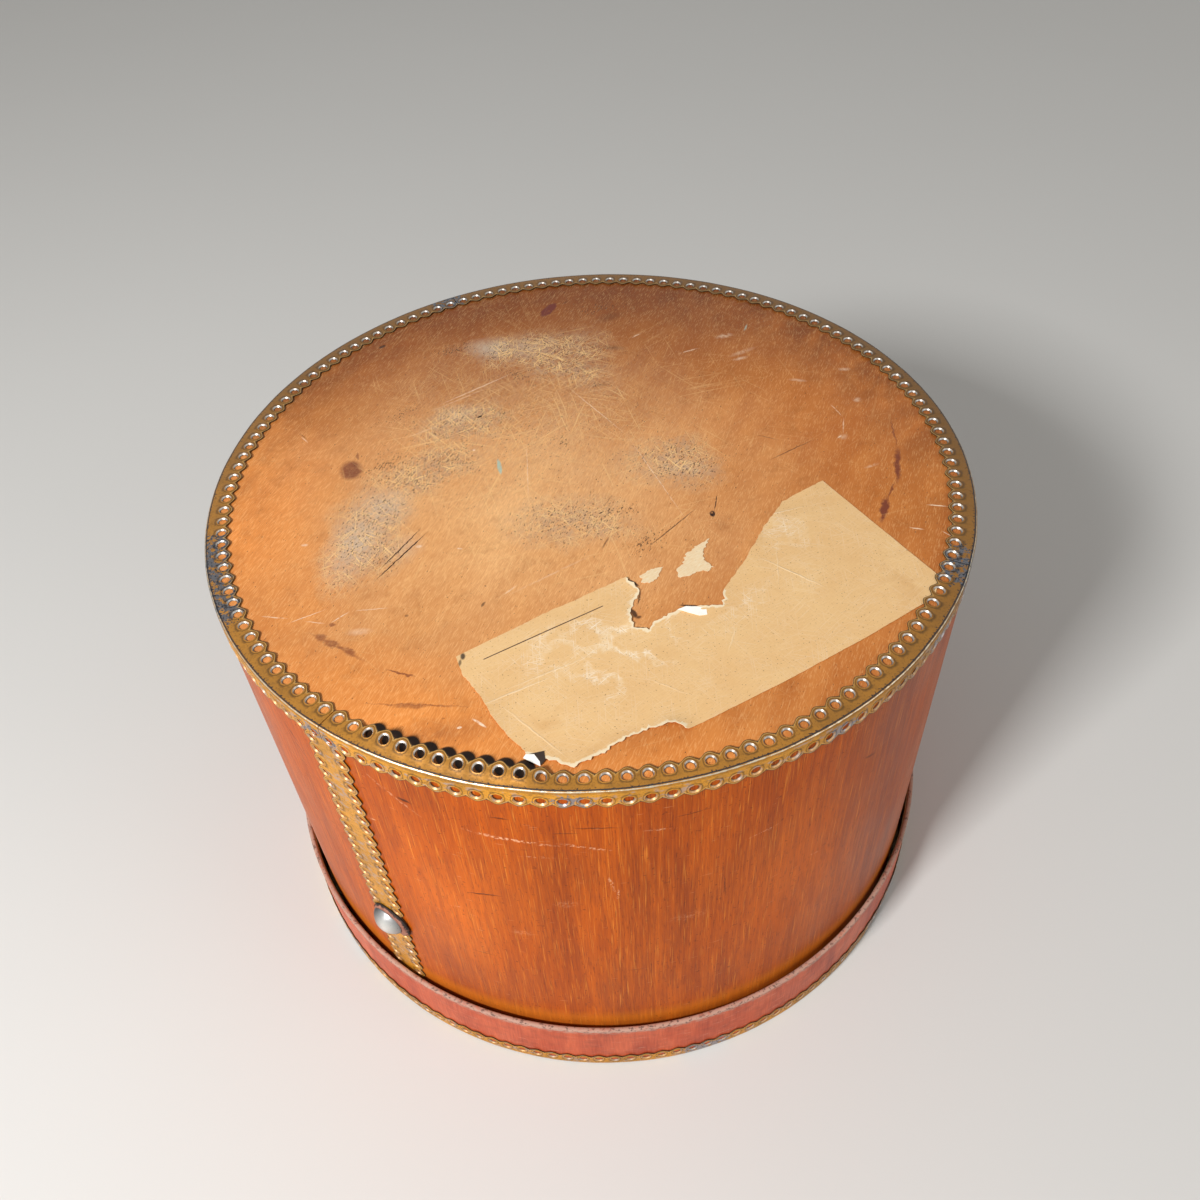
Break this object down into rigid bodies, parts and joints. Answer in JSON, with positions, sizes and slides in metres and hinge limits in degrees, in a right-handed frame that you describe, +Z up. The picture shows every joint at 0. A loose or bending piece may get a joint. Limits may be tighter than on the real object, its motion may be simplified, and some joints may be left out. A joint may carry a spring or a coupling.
{
  "type": "wooden hat box",
  "caption": "Round bent plywood hat box with perforated scalloped metal edging, standing upside down on its shallow lift-off lid, with a torn paper label on its base.",
  "frame": {"origin": "centre of the lid's underside, on the floor, under the box's axis", "axes": "+Z up along the box's axis, from the lid to the drum's board; the picture is taken from the -Y side, with +X to its right"},
  "size_m": [0.3901, 0.3901, 0.263],
  "materials": {
    "drum_plywood": "orange-brown varnished plywood, gloss, upright grain, scuffed",
    "board_plywood": "orange-tan varnished plywood, satin, worn and scratched",
    "rim_plywood": "reddish-brown stained plywood, satin, pale worn edge",
    "lacquered_edging": "gold-lacquered sheet metal, satin, worn to grey along the fold",
    "dull_edging": "dull gold-lacquered sheet metal, tarnished and worn",
    "nickel_stud": "worn nickel plate, satin",
    "plain_steel": "plain steel, dull",
    "leather_washer": "reddish-brown leather with a dark ragged edge",
    "label_paper": "aged kraft paper, matte, creased and torn",
    "lining_paper": "aged cream paper, matte"
  },
  "bodies": {
    "lid": {"lid_board": "board_plywood", "lid_rim": "rim_plywood", "lid_edging_a": "dull_edging", "lid_edging_b": "dull_edging", "lid_edging_c": "dull_edging", "lid_seam_strip": "dull_edging", "lid_seam_backing": "plain_steel", "lid_board_lining": "lining_paper", "lid_rim_lining": "lining_paper"},
    "drum": {"drum_wall": "drum_plywood", "drum_board": "board_plywood", "drum_edging_a": "lacquered_edging", "drum_edging_b": "lacquered_edging", "drum_edging_c": "lacquered_edging", "seam_strip": "lacquered_edging", "seam_backing": "plain_steel", "wall_lining": "lining_paper", "board_lining": "lining_paper", "front_stud": "nickel_stud", "front_stud_washer": "leather_washer", "front_stud_rove": "plain_steel", "rear_stud": "nickel_stud", "rear_stud_washer": "leather_washer", "rear_stud_rove": "plain_steel", "paper_label": "label_paper", "label_scraps": "label_paper"}
  },
  "joints": [
    {"name": "drum_lift", "type": "slide", "parent": "lid", "child": "drum", "axis": [0, 0, 1], "range_m": [0, 0.15]}
  ]
}
